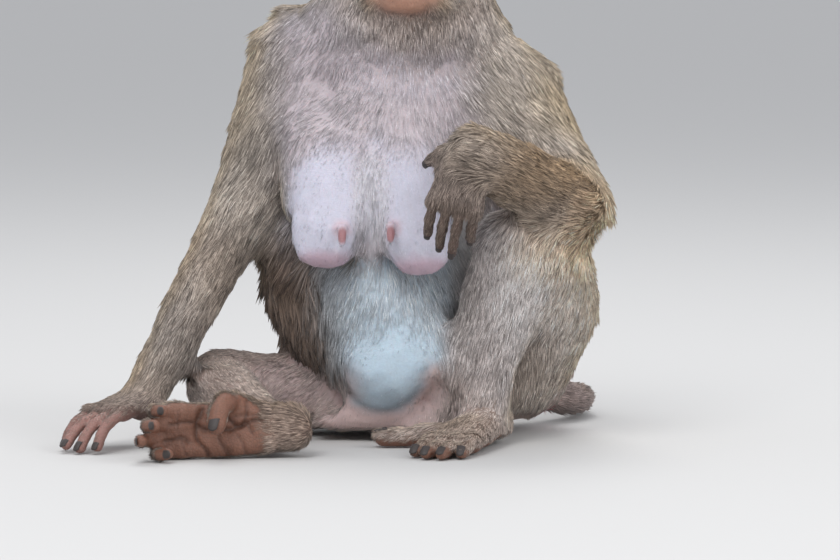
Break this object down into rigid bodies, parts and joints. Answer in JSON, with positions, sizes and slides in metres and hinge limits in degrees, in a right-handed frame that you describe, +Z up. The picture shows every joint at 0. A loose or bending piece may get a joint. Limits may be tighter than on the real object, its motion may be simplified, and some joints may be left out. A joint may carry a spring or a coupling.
{
  "type": "macaque monkey",
  "caption": "Life-size still model of a seated adult female macaque, one knee raised under a resting forearm, the other leg folded and a hand on the ground.",
  "frame": {"origin": "on the floor, under the middle of the whole body's box", "axes": "+Z up; the monkey faces -Y, so her left side is towards +X; the tail trails towards +Y"},
  "size_m": [0.389, 0.4368, 0.404],
  "materials": {
    "coat": "soft, short to medium grey-brown fur with pale and golden tips",
    "pale_coat": "thin, pale pinkish-grey hair over pale skin",
    "skin": "bare and thinly haired skin, matt",
    "bare_skin": "pale pink bare skin, soft and matt",
    "dark_skin": "dark reddish-brown creased skin of hands and feet",
    "eye": "wet amber-brown eye",
    "nail": "dark grey flat nails, slightly glossy"
  },
  "bodies": {
    "root": {"trunk": "coat", "neck": "pale_coat", "head": "skin", "ear_left": "bare_skin", "ear_right": "bare_skin", "eye_left": "eye", "eye_right": "eye", "breast_left": "bare_skin", "breast_right": "bare_skin", "upper_arm_left": "coat", "upper_arm_right": "coat", "forearm_left": "coat", "forearm_right": "coat", "hand_left": "dark_skin", "hand_right": "dark_skin", "thigh_left": "coat", "thigh_right": "coat", "shin_left": "coat", "shin_right": "coat", "foot_left": "dark_skin", "foot_right": "dark_skin", "tail_base": "coat", "tail_tip": "coat"}
  },
  "joints": []
}
